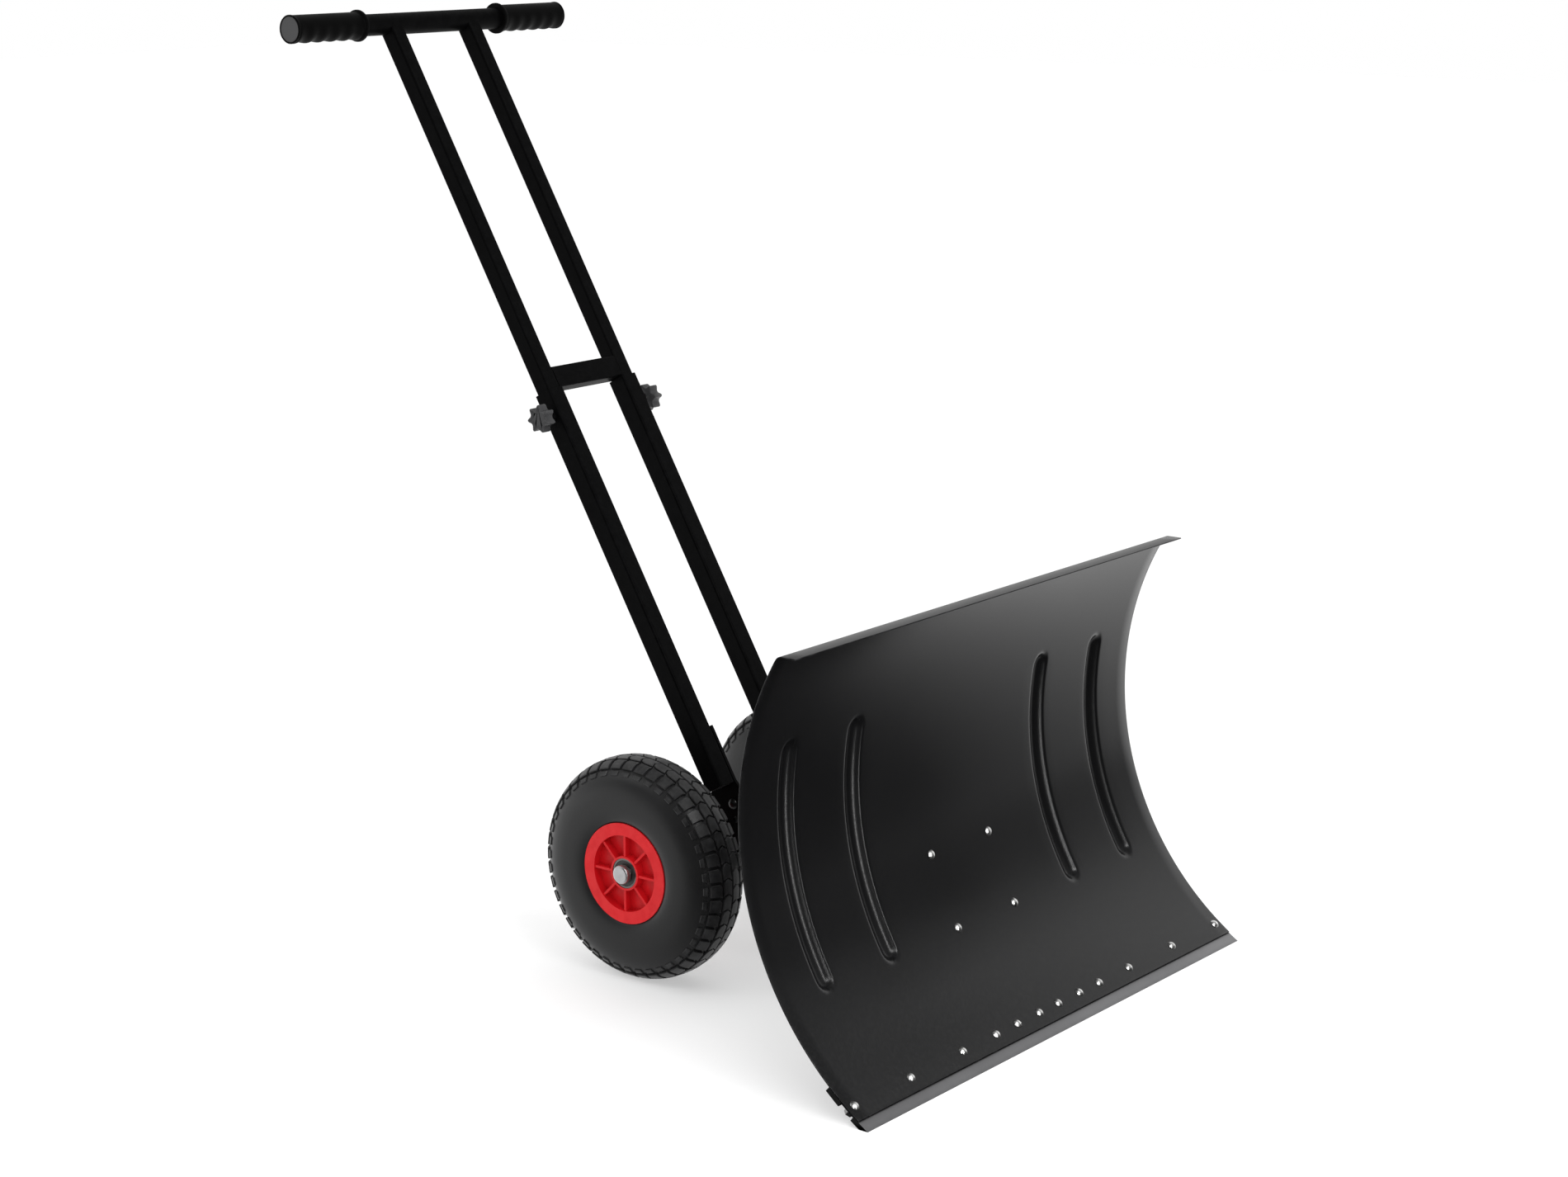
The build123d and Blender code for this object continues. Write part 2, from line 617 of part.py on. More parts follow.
def lower_tube(side):
    tube = handle_plane(side * TUBE_X, 0) * square_tube(LOWER_TUBE, LOWER_WALL, LOWER_CORNER, LOWER_LENGTH)
    return tube - knob_bore(side, KNOB_STUD / 2 + LOOSE)


def knob_bore(side, radius):
    """Hole through the outer wall only, for a clamping stud."""
    origin = handle_plane(side * TUBE_X, KNOB_AT).origin
    return sideways(origin.X, origin.Y, origin.Z, side) * disc(radius, LOWER_TUBE)


def tube_guide(side):
    """Plastic liner in the lower tube's mouth."""
    outside = LOWER_TUBE - 2 * LOWER_WALL
    wall = (outside - UPPER_TUBE) / 2 - GUIDE_GAP
    liner = square_tube(outside, wall, LOWER_CORNER - LOWER_WALL, GUIDE_LENGTH)
    return handle_plane(side * TUBE_X, LOWER_LENGTH - GUIDE_LENGTH) * liner - knob_bore(side, KNOB_STUD / 2 + LOOSE)


def lower_plugs():
    size = LOWER_TUBE - 2 * LOWER_WALL
    plug = extrude(RectangleRounded(size, size, LOWER_CORNER - LOWER_WALL), amount=12.0)
    plug -= Pos(0, 0, 2.0) * extrude(RectangleRounded(size - 4.0, size - 4.0, 1.0), amount=10.0)
    return [handle_plane(side * TUBE_X, 0) * plug for side in SIDES.values()]


def handlebar_axis(x):
    origin = handle_plane(0, HANDLEBAR_AT).origin
    return Plane(origin=(x, origin.Y, origin.Z), x_dir=(0, 1, 0), z_dir=ACROSS)


def upper_tube(side):
    """Slides in the lower tube; its top is cut to fit round the handlebar."""
    foot = LOWER_LENGTH - INSERTION
    length = HANDLEBAR_AT - foot
    tube = handle_plane(side * TUBE_X, foot) * square_tube(UPPER_TUBE, UPPER_WALL, UPPER_CORNER, length)
    return tube - handlebar_axis(side * TUBE_X) * Cylinder(HANDLEBAR / 2, 2 * UPPER_TUBE)


def upper_plugs():
    """Gliding plugs on the upper tubes' lower ends."""
    head = LOWER_TUBE - 2 * LOWER_WALL - 4 * GUIDE_GAP
    stem = UPPER_TUBE - 2 * UPPER_WALL
    plug = extrude(RectangleRounded(head, head, 1.5), amount=-4.0)
    plug += extrude(RectangleRounded(stem, stem, 0.5), amount=16.0)
    foot = LOWER_LENGTH - INSERTION
    return [handle_plane(side * TUBE_X, foot) * plug for side in SIDES.values()]


def crossbar():
    start = LOWER_LENGTH + CROSSBAR_GAP
    origin = handle_plane(0, start + CROSSBAR_HEIGHT / 2).origin
    tubewise = (0, sin(radians(LEAN)), cos(radians(LEAN)))
    plane = Plane(origin=origin, x_dir=tubewise, z_dir=ACROSS)
    outside = RectangleRounded(CROSSBAR_HEIGHT, UPPER_TUBE, UPPER_CORNER)
    inside = RectangleRounded(CROSSBAR_HEIGHT - 2 * UPPER_WALL, UPPER_TUBE - 2 * UPPER_WALL, 0.5)
    return extrude(plane * (outside - inside), amount=TUBE_X - UPPER_TUBE / 2, both=True)


def handlebar():
    half = GRIP_END - GRIP_CAP
    section = Circle(HANDLEBAR / 2) - Circle(HANDLEBAR / 2 - HANDLEBAR_WALL)
    return extrude(handlebar_axis(0) * section, amount=half, both=True)


def grip(side):
    """Closed-ended rubber grip with a flange on its inner end."""
    length = GRIP_END - GRIP_START
    body = disc(GRIP / 2, length) + disc(GRIP_FLANGE / 2, 5.0)
    body = fillet(body.edges().group_by(Axis.Z)[-1], 2.0)
    body -= disc(HANDLEBAR / 2, length - GRIP_CAP)
    origin = handlebar_axis(0).origin
    return sideways(side * GRIP_START, origin.Y, origin.Z, side) * body


def knob_plane(side, out):
    """Plane on a height knob's axis, at a distance out from the lower tube's face."""
    origin = handle_plane(side * (TUBE_X + LOWER_TUBE / 2 + out), KNOB_AT).origin
    return sideways(origin.X, origin.Y, origin.Z, side)


def weld_nuts():
    nut_body = hexagon(13.0, 6.5) - disc(KNOB_STUD / 2 + FIT, 6.5)
    return [knob_plane(side, 0) * nut_body for side in SIDES.values()]


def knob_stud(side):
    """Threaded stud moulded into the knob, its tip just off the upper tube."""
    tip = AIR - (LOWER_TUBE - UPPER_TUBE) / 2
    return knob_plane(side, tip) * disc(KNOB_STUD / 2, KNOB_STANDOFF + 9.0 - tip)


def height_knob(side):
    """Star knob moulded round the stud's outer end."""
    knob = star_knob(KNOB_DIAMETER, KNOB_THICKNESS, 0.0)
    knob -= disc(KNOB_STUD / 2, 11.0, -2.0)
    return knob_plane(side, KNOB_STANDOFF) * knob


def swivel_knob():
    """Larger star knob over the arc slot, open right through for the bolt."""
    place = swivel_knob_plane() * Pos(0, 0, 4.0)
    return place * star_knob(SWIVEL_KNOB_DIAMETER, 16.0, CLAMP_BOLT + 6.0)


def swivel_insert():
    """Threaded bush moulded into the swivel knob."""
    return swivel_knob_plane() * ring(CLAMP_BOLT / 2 + 3.0, CLAMP_BOLT / 2 + FIT, 18.0, 2.0)


def swivel_washer():
    return swivel_knob_plane() * ring(12.0, CLAMP_BOLT / 2 + FIT, 2.0)


# ---------------------------------------------------------------- all nodes

def blade_nodes():
    strip_grip = SHEET + STRIP_THICKNESS
    bracket_grip = SHEET + BRACKET_THICKNESS
    return {
        "blade_sheet": blade_sheet(),
        "wear_strip": wear_strip(),
        "wear_strip_bolts": bolt_set(strip_bolt_planes(), strip_grip, 6.0),
        "wear_strip_nuts": nut_set(strip_bolt_planes(), strip_grip),
        "blade_bracket": blade_bracket(),
        "bracket_bolts": bolt_set(bracket_bolt_planes(), bracket_grip, 7.0),
        "bracket_nuts": nut_set(bracket_bolt_planes(), bracket_grip),
        "king_bolt": king_bolt(),
        "king_washers": king_washers(),
        "king_nut": king_nut(),
    }


def carriage_nodes():
    return {
        "drawbar": drawbar(),
        "pivot_bushes": pivot_bushes(),
        "thrust_washers": thrust_washers(),
        "clamp_bolt": clamp_bolt(),
        "flange_bolts": flange_bolts(),
        "flange_nuts": flange_nuts(),
        "carriage_bracket": carriage_bracket(),
        "tie_spacer": tie_spacer(),
        "tie_bolt": tie_bolt(),
        "tie_nut": tie_nut(),
        "axle": axle(),
        "axle_spacers": axle_spacers(),
        "axle_washers": axle_washers(),
        "axle_caps": axle_caps(),
        "bearing_inner_rings": inner_rings(),
        "lower_tube_plugs": lower_plugs(),
        "knob_weld_nuts": weld_nuts(),
        "swivel_knob": swivel_knob(),
        "swivel_knob_insert": swivel_insert(),
        "swivel_washer": swivel_washer(),
        "upper_tube_plugs": upper_plugs(),
        "crossbar": crossbar(),
        "handlebar": handlebar(),
    }


def side_nodes(name, side):
    return {
        f"{name}_rim": rim(side),
        f"{name}_tyre": tyre(side),
        f"{name}_bearing_outer_rings": outer_rings(side),
        f"{name}_bearing_balls": bearing_balls(side),
        f"{name}_bearing_seals": bearing_seals(side),
        f"{name}_lower_tube": lower_tube(side),
        f"{name}_tube_guide": tube_guide(side),
        f"{name}_upper_tube": upper_tube(side),
        f"{name}_grip": grip(side),
        f"{name}_height_knob": height_knob(side),
        f"{name}_knob_stud": knob_stud(side),
    }


def main():
    nodes = blade_nodes() | carriage_nodes()
    for name, side in SIDES.items():
        nodes |= side_nodes(name, side)
    os.makedirs("parts", exist_ok=True)
    for name, shape in nodes.items():
        if isinstance(shape, list):
            shape = Compound(children=shape)
        export_step(shape, f"parts/{name}.step")
    print(len(nodes), "nodes written")


main()
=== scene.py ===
# %% [markdown]
# # A wheeled snow pusher
# The object is a curved steel blade on a two-wheel carriage, pushed by a telescopic T handle. Its
# plates, tubes, bolts and bearings arrive as a finished engineering model, in metres, and this file
# gives them their look: bent and pressed sheet, moulded rubber, paint, zinc and plastic. The model
# is loaded first, because every later piece takes its place from it.

# %% Load the engineering model
import json
from math import cos, pi, radians, sin, sqrt

import bmesh
import bpy
from mathutils import Matrix, Vector
from mathutils.geometry import interpolate_bezier


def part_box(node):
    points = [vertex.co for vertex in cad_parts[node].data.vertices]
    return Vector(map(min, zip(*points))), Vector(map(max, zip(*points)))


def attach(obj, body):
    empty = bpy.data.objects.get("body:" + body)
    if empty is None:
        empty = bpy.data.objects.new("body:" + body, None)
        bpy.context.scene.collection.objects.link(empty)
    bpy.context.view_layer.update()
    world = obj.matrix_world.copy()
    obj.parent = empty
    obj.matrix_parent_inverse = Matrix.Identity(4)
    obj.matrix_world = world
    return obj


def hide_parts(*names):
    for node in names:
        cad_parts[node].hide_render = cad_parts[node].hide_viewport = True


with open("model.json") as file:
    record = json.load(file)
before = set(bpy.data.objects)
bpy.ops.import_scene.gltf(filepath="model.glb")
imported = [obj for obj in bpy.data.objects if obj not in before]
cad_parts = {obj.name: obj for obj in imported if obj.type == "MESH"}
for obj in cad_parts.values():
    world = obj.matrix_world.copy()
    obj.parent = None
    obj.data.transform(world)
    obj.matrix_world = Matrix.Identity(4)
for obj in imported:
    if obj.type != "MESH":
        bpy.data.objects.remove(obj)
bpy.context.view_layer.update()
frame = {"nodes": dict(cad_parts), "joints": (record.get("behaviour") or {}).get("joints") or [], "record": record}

MM = 0.001
SIDES = {"left": 1, "right": -1}
joint_place = {joint["name"]: Vector(joint.get("pos_m", (0, 0, 0))) for joint in frame["joints"]}
cad_slot = {part["node"]: part["material_slot"] for part in frame["record"]["subparts"]}

# %% [markdown]
# ## Camera
# A catalogue picture is taken from eye height with a fairly long lens, so that verticals stay
# nearly upright and the near wheel isn't swollen. The camera looks at the blade's hollow side from
# the left.

# %% Camera
camera_data = bpy.data.cameras.new("camera")
camera_data.lens = 72.47
camera_data.shift_x = 0.0214
camera_data.shift_y = 0.0208
camera = bpy.data.objects.new("camera", camera_data)
camera.location = (-2.7672, -2.2156, 1.2322)
camera.rotation_euler = (radians(76.61), radians(0.07), radians(-51.75))
bpy.context.scene.collection.objects.link(camera)
bpy.context.scene.camera = camera
bpy.context.scene.view_settings.view_transform = "Standard"
print("lens", round(camera_data.lens), "mm at", [round(value, 2) for value in camera.location])

# %% [markdown]
# ## Studio light
# Black paint only reads as black if the room around it isn't bright everywhere. So the room lights
# the object evenly from all sides, but what glossy surfaces mirror is a separate choice: a soft-
# edged white screen on one side and a black flag on the other, which gives the curved sheet its
# gradient from left to right. Lamps add what a screen can't: one low on the right that grazes the
# blade, one behind on the left for the wheels, one high in front for the tyre's shoulder, two
# narrow strips in front whose reflections run down the pressed ribs, and a very soft ceiling for
# the shadows on the floor.

# %% Lamps
def area_lamp(name, place, target, width, height, power):
    data = bpy.data.lights.new(name, "AREA")
    data.shape = "RECTANGLE"
    data.size = width
    data.size_y = height
    data.energy = power
    lamp = bpy.data.objects.new(name, data)
    lamp.location = place
    aim = Vector(target) - Vector(place)
    lamp.rotation_euler = aim.to_track_quat("-Z", "Y").to_euler()
    bpy.context.scene.collection.objects.link(lamp)


area_lamp("right_front", (3.4, -1.5, 1.3), (0.3, -0.4, 0.2), 1.4, 1.8, 6)
area_lamp("left_back", (-2.4, 1.8, 2.4), (-0.2, 0.3, 0.6), 1.5, 1.5, 15)
STRIP_HEIGHT = 0.62
STRIP_LAMPS = (("rib_strip", -0.27, -1.05, 5.5), ("second_rib_strip", -0.88, -0.98, 4))
for name, x, y, power in STRIP_LAMPS:
    area_lamp(name, (x, y, STRIP_HEIGHT), (0.0, -0.3, STRIP_HEIGHT), 0.06, 1.18, power)
    bpy.data.objects[name].visible_camera = False
area_lamp("front_high", (-1.1, -2.2, 2.6), (-0.2, 0.0, 0.1), 0.9, 0.9, 26)

ceiling_data = bpy.data.lights.new("ceiling", "SUN")
ceiling_data.energy = 0.5
ceiling_data.angle = radians(80)
ceiling = bpy.data.objects.new("ceiling", ceiling_data)
ceiling.rotation_euler = Vector((-0.5, 0.4, -1)).to_track_quat("-Z", "Y").to_euler()
bpy.context.scene.collection.objects.link(ceiling)

# %% Room: even for dull surfaces, screen and flag for glossy ones
SCREEN_SIDE = (0.57, 0.82, -0.45)
DULL_LIGHT = 0.95
SCREEN_EDGE = {"From Min": -0.14, "From Max": 0.30, "To Min": 0.03, "To Max": 0.9}
room = bpy.data.worlds.new("room")
room.use_nodes = True
nodes, links = room.node_tree.nodes, room.node_tree.links
path = nodes.new("ShaderNodeLightPath")
towards = nodes.new("ShaderNodeVectorMath")
towards.operation = "DOT_PRODUCT"
towards.inputs[1].default_value = SCREEN_SIDE
mirrored = nodes.new("ShaderNodeMapRange")
for title, value in SCREEN_EDGE.items():
    mirrored.inputs[title].default_value = value
glossy = nodes.new("ShaderNodeMix")
glossy.inputs["A"].default_value = DULL_LIGHT
seen = nodes.new("ShaderNodeMix")
seen.inputs["B"].default_value = 1.0
links.new(nodes.new("ShaderNodeTexCoord").outputs["Generated"], towards.inputs[0])
links.new(towards.outputs["Value"], mirrored.inputs["Value"])
links.new(path.outputs["Is Glossy Ray"], glossy.inputs["Factor"])
links.new(mirrored.outputs["Result"], glossy.inputs["B"])
links.new(path.outputs["Is Camera Ray"], seen.inputs["Factor"])
links.new(glossy.outputs["Result"], seen.inputs["A"])
links.new(seen.outputs["Result"], nodes["Background"].inputs["Strength"])
nodes["Background"].inputs["Color"].default_value = (1, 1, 1, 1)
bpy.context.scene.world = room

# %% [markdown]
# ## Shared shader groups
# A product's finishes have a few effects in common, so each effect is a node group, built once and
# given its own numbers in each material: *patches* is slow cloudy change, *grain* is the fine
# relief of paint or moulding, *rubbed_edges* finds the convex edges that hands and snow polish,
# a seam group paints shade into the corner where one part lies on another, *drawn_lines* is
# the long scratch pattern of rolled steel, and *dust* collects on faces that look up.

# %% Group helper
NUMBER = "NodeSocketFloat"


def new_group(name, inputs, outputs):
    """Shader node group with float inputs {name: default} and float outputs [name]."""
    group = bpy.data.node_groups.new(name, "ShaderNodeTree")
    for title, value in inputs.items():
        socket = group.interface.new_socket(name=title, in_out="INPUT", socket_type=NUMBER)
        socket.default_value = value
    for title in outputs:
        group.interface.new_socket(name=title, in_out="OUTPUT", socket_type=NUMBER)
    return group, group.nodes.new("NodeGroupInput"), group.nodes.new("NodeGroupOutput")


def math_node(tree, operation, a, b):
    """Math node whose two inputs are numbers or sockets; returns its output."""
    node = tree.nodes.new("ShaderNodeMath")
    node.operation = operation
    for socket, value in zip(node.inputs, (a, b)):
        if isinstance(value, (int, float)):
            socket.default_value = value
        else:
            tree.links.new(value, socket)
    return node.outputs[0]


def noise_node(tree, vector, scale, detail):
    node = tree.nodes.new("ShaderNodeTexNoise")
    node.inputs["Detail"].default_value = detail
    tree.links.new(vector, node.inputs["Vector"])
    if isinstance(scale, (int, float)):
        node.inputs["Scale"].default_value = scale
    else:
        tree.links.new(scale, node.inputs["Scale"])
    return node.outputs["Fac"]


def range_node(tree, value, low, high):
    """Eases low..high to 0..1, clamped."""
    node = tree.nodes.new("ShaderNodeMapRange")
    node.interpolation_type = "SMOOTHSTEP"
    node.inputs["From Min"].default_value = low
    node.inputs["From Max"].default_value = high
    tree.links.new(value, node.inputs["Value"])
    return node.outputs["Result"]


def own_place(tree):
    return tree.nodes.new("ShaderNodeTexCoord").outputs["Object"]


# %% Patches and grain
patches, ends, result = new_group("patches", {"Scale": 6.0}, ["Mask"])
cloud = noise_node(patches, own_place(patches), ends.outputs["Scale"], 3.0)
patches.links.new(range_node(patches, cloud, 0.3, 0.7), result.inputs["Mask"])

grain, ends, result = new_group("grain", {"Scale": 900.0}, ["Height"])
fine = noise_node(grain, own_place(grain), ends.outputs["Scale"], 2.0)
grain.links.new(fine, result.inputs["Height"])

# %% Rubbed edges and dust
rubbed, ends, result = new_group("rubbed_edges", {"Amount": 0.5}, ["Mask"])
geometry = rubbed.nodes.new("ShaderNodeNewGeometry")
convex = range_node(rubbed, geometry.outputs["Pointiness"], 0.52, 0.60)
broken = range_node(rubbed, noise_node(rubbed, own_place(rubbed), 90.0, 4.0), 0.35, 0.65)
edge = math_node(rubbed, "MULTIPLY", convex, broken)
rubbed.links.new(math_node(rubbed, "MULTIPLY", edge, ends.outputs["Amount"]), result.inputs["Mask"])

dust, ends, result = new_group("dust", {"Amount": 0.2}, ["Mask"])
normal = dust.nodes.new("ShaderNodeSeparateXYZ")
dust.links.new(dust.nodes.new("ShaderNodeNewGeometry").outputs["Normal"], normal.inputs[0])
upward = range_node(dust, normal.outputs["Z"], 0.3, 1.0)
speck = range_node(dust, noise_node(dust, own_place(dust), 260.0, 5.0), 0.4, 0.75)
settled = math_node(dust, "MULTIPLY", upward, speck)
dust.links.new(math_node(dust, "MULTIPLY", settled, ends.outputs["Amount"]), result.inputs["Mask"])

# %% Painted shade in seams
# Painted shade: ambient occlusion darkens the colour within Distance of another surface, in the corners where
# shade falls
seam_shade_group, ends, result = new_group("painted_seam_shade", {"Distance": 0.003}, ["Mask"])
nearby = seam_shade_group.nodes.new("ShaderNodeAmbientOcclusion")
nearby.samples = 8
seam_shade_group.links.new(ends.outputs["Distance"], nearby.inputs["Distance"])
seam_shade_group.links.new(range_node(seam_shade_group, nearby.outputs["AO"], 0.97, 0.75), result.inputs["Mask"])

# %% Drawn lines
lines, ends, result = new_group("drawn_lines", {"Scale": 700.0, "Stretch": 0.02}, ["Mask"])
squeeze = lines.nodes.new("ShaderNodeCombineXYZ")
lines.links.new(ends.outputs["Stretch"], squeeze.inputs["X"])
squeeze.inputs["Y"].default_value = 1.0
squeeze.inputs["Z"].default_value = 1.0
mapping = lines.nodes.new("ShaderNodeMapping")
lines.links.new(own_place(lines), mapping.inputs["Vector"])
lines.links.new(squeeze.outputs[0], mapping.inputs["Scale"])
streak = noise_node(lines, mapping.outputs[0], ends.outputs["Scale"], 3.0)
lines.links.new(range_node(lines, streak, 0.3, 0.7), result.inputs["Mask"])
print("shader groups:", sorted(group.name for group in bpy.data.node_groups))

# %% [markdown]
# ## One recipe for a finish
# Every surface here is a base colour with a second, slightly different tone in soft patches, a
# roughness that drifts with the same patches, fine relief, and a third colour where edges are
# rubbed or dust lies. Writing that once keeps the materials short and lets each one say only what
# is special about it.

# %% Finish recipe
def group_node(material, group, **values):
    node = material.node_tree.nodes.new("ShaderNodeGroup")
    node.node_tree = group
    for title, value in values.items():
        node.inputs[title].default_value = value
    return node.outputs[0]


def blend_colour(material, mask, below, above):
    """Colour mix; below and above are a socket or an (r, g, b) colour."""
    node = material.node_tree.nodes.new("ShaderNodeMix")
    node.data_type = "RGBA"
    material.node_tree.links.new(mask, node.inputs["Factor"])
    for socket, colour in zip(node.inputs[6:8], (below, above)):
        if isinstance(colour, tuple):
            socket.default_value = (*colour, 1)
        else:
            material.node_tree.links.new(colour, socket)
    return node.outputs[2]


def finish(name, tone, second_tone, roughness, patch_scale=6.0):
    """Material with two tones in patches and a roughness (smooth, rough) that follows them."""
    material = bpy.data.materials.new(name)
    material.use_nodes = True
    shader = material.node_tree.nodes["Principled BSDF"]
    patch = group_node(material, patches, Scale=patch_scale)
    colour = blend_colour(material, patch, tone, second_tone)
    material.node_tree.links.new(colour, shader.inputs["Base Color"])
    spread = material.node_tree.nodes.new("ShaderNodeMapRange")
    spread.inputs["To Min"].default_value = roughness[0]
    spread.inputs["To Max"].default_value = roughness[1]
    material.node_tree.links.new(patch, spread.inputs["Value"])
    material.node_tree.links.new(spread.outputs["Result"], shader.inputs["Roughness"])
    return material, shader


def lay_over(material, shader, mask, colour):
    """Puts another colour over the material's own where the mask is up."""
    below = shader.inputs["Base Color"].links[0].from_socket
    mixed = blend_colour(material, mask, below, colour)
    material.node_tree.links.new(mixed, shader.inputs["Base Color"])


def add_relief(material, shader, height, distance, strength=1.0):
    """Fine bumps: distance is the real height of the relief in metres."""
    bump = material.node_tree.nodes.new("ShaderNodeBump")
    bump.inputs["Distance"].default_value = distance
    bump.inputs["Strength"].default_value = strength
    material.node_tree.links.new(height, bump.inputs["Height"])
    material.node_tree.links.new(bump.outputs[0], shader.inputs["Normal"])


# %% [markdown]
# ## Powder coat
# Blade and frame are powder coated black. Baked powder flows into a skin with a faint orange peel
# of about a millimetre, and it thins over sharp edges, which look a little lighter. The blade is
# satin and the frame is duller and deeper, so they are two materials from one function, and the
# same function makes a third for the oxide skin of the black screws.

# %% Powder coats
DUST_TONE = (0.22, 0.22, 0.22)
WORN_TONE = (0.10, 0.10, 0.105)
PEEL_SCALE = 700.0


def lighter(tone, share):
    """The same hue, lighter or darker by a share, and never above white."""
    return tuple(min(1.0, share * channel) for channel in tone)


def powder_coat(name, tone, roughness, gloss, peel, wear):
    material, shader = finish(name, tone, lighter(tone, 1.15), roughness, 4.0)
    shader.inputs["Specular IOR Level"].default_value = gloss
    lay_over(material, shader, group_node(material, rubbed, Amount=wear), WORN_TONE)
    lay_over(material, shader, group_node(material, dust, Amount=0.02), DUST_TONE)
    add_relief(material, shader, group_node(material, grain, Scale=PEEL_SCALE), peel)
    return material


COATS = {
    "blade_coat": ((0.0028, 0.0028, 0.0030), (0.22, 0.26), 0.22, 0.00006, 0.45),
    "frame_coat": ((0.0010, 0.0010, 0.0011), (0.45, 0.58), 0.03, 0.00006, 0.03),
    "black_screw": ((0.0040, 0.0040, 0.0040), (0.25, 0.35), 0.30, 0.00002, 0.25),
}
materials = {name: powder_coat(name, *values) for name, values in COATS.items()}
print("coats:", sorted(materials))

# %% [markdown]
# ## Bare and plated metal
# The wear strip is plain rolled steel: dull grey with long streaks from the rolling mill. Fasteners
# are bright zinc, which is never quite even. Axle, caps and bearings are turned or ground, and
# shinier.

# %% Metals
# Colour of the painted shade in the seam where the strip meets the blade's edge
PAINTED_SEAM_SHADE_TONE = (0.02, 0.02, 0.02)


def metal(name, tone, roughness, streaks=None):
    """Rolled metal with streaks of that scale, or an even one with small soft patches."""
    second_share, patch_scale = (0.94, 14.0) if streaks else (0.82, 60.0)
    material, shader = finish(name, tone, lighter(tone, second_share), roughness, patch_scale)
    shader.inputs["Metallic"].default_value = 1.0
    lay_over(material, shader, group_node(material, rubbed, Amount=0.35), lighter(tone, 1.3))
    if streaks:
        # Painted shade: darker where the strip lies against another part, as a shadow line would fall
        lay_over(material, shader, group_node(material, seam_shade_group, Distance=0.008), PAINTED_SEAM_SHADE_TONE)
        add_relief(material, shader, group_node(material, lines, Scale=streaks), 0.00002)
    else:
        add_relief(material, shader, group_node(material, grain, Scale=1500.0), 0.00001)
    return material


METALS = {
    "strip_steel": ((0.21, 0.21, 0.215), (0.30, 0.36), 900.0),
    "zinc": ((0.78, 0.78, 0.77), (0.22, 0.36)),
    "axle_steel": ((0.50, 0.50, 0.51), (0.25, 0.38)),
    "cap_steel": ((0.60, 0.60, 0.61), (0.40, 0.48)),
    "bearing_steel": ((0.16, 0.155, 0.15), (0.18, 0.28)),
    "bronze": ((0.42, 0.26, 0.12), (0.35, 0.5)),
    "brass_insert": ((0.70, 0.50, 0.22), (0.25, 0.4)),
}
for name, values in METALS.items():
    materials[name] = metal(name, *values)
print("metals:", sorted(METALS))

# %% [markdown]
# ## Plastic and rubber
# The rim is injection-moulded red plastic, smooth with a faint cast. Knobs and plugs are dark
# plastic with a spark-eroded grain. The tyre is foamed rubber, dull and greyish, with a little dust
# in its tread.

# %% Plastics and rubbers
TREAD_DUST_TONE = (0.20, 0.19, 0.18)


def moulding(name, tone, roughness, gloss, grain_scale, relief, dust_amount=0.0, edge=None):
    """Moulded plastic or rubber; edge is the tone of its rubbed corners."""
    material, shader = finish(name, tone, lighter(tone, 1.18), roughness, 14.0)
    shader.inputs["Specular IOR Level"].default_value = gloss
    if edge:
        lay_over(material, shader, group_node(material, rubbed, Amount=0.6), edge)
    if dust_amount:
        dusty = group_node(material, dust, Amount=dust_amount)
        lay_over(material, shader, dusty, TREAD_DUST_TONE)
    add_relief(material, shader, group_node(material, grain, Scale=grain_scale), relief)
    return material


MOULDINGS = {
    "rim_red": ((0.46, 0.0045, 0.008), (0.36, 0.44), 0.22, 500.0, 0.00003, 0.0, (0.75, 0.05, 0.05)),
    "black_plastic": ((0.012, 0.012, 0.012), (0.4, 0.5), 0.4, 900.0, 0.00005),
    "knob_plastic": ((0.030, 0.030, 0.0315), (0.45, 0.55), 0.3, 900.0, 0.00005, 0.0,
                     (0.09, 0.09, 0.09)),
    "seal_rubber": ((0.02, 0.019, 0.018), (0.35, 0.45), 0.4, 900.0, 0.00003),
    "grip_rubber": ((0.0014, 0.0014, 0.0014), (0.5, 0.62), 0.04, 1400.0, 0.00005),
    "grip_end": ((0.045, 0.045, 0.046), (0.5, 0.6), 0.3, 1400.0, 0.00006),
    "tyre": ((0.010, 0.010, 0.0104), (0.36, 0.44), 0.30, 420.0, 0.00006, 0.06,
             (0.030, 0.030, 0.031)),
}
for name, values in MOULDINGS.items():
    materials[name] = moulding(name, *values)
print(len(materials), "materials")

# %% [markdown]
# ## Engineering nodes that stay
# Tubes, plates, bolts and the rims already have the right shape. What a drawing lacks is the tiny
# round that every real edge has, and without it no edge catches light. The mesh itself must not
# change, so a stack of modifiers does it: weld the loose triangles, dissolve flat ones into clean
# faces, bevel what is still a corner, and weight the normals so that the flats stay flat.

# %% Edge rounding for kept nodes
ROUND = {                            # millimetres
    "left_rim": 0.6, "right_rim": 0.6,
    "wear_strip": 0.5, "blade_bracket": 0.5, "carriage_bracket": 0.5, "drawbar": 0.5,
    "king_nut": 0.4, "king_bolt": 0.4,
    "axle_caps": 0.15,
}
ROUND_ELSEWHERE = 0.25
FLAT_TURN = radians(0.4)             # triangles that turn less than this are one flat face
CORNER_TURN = radians(35)            # edges that turn more than this are rounded


def round_edges(node, width):
    part = frame["nodes"][node]
    weld = part.modifiers.new("weld", "WELD")
    weld.merge_threshold = 0.01 * MM
    flats = part.modifiers.new("flats", "DECIMATE")
    flats.decimate_type = "DISSOLVE"
    flats.angle_limit = FLAT_TURN
    bevel = part.modifiers.new("edges", "BEVEL")
    bevel.width = width * MM
    bevel.segments = 2
    bevel.limit_method = "ANGLE"
    bevel.angle_limit = CORNER_TURN
    part.modifiers.new("normals", "WEIGHTED_NORMAL")


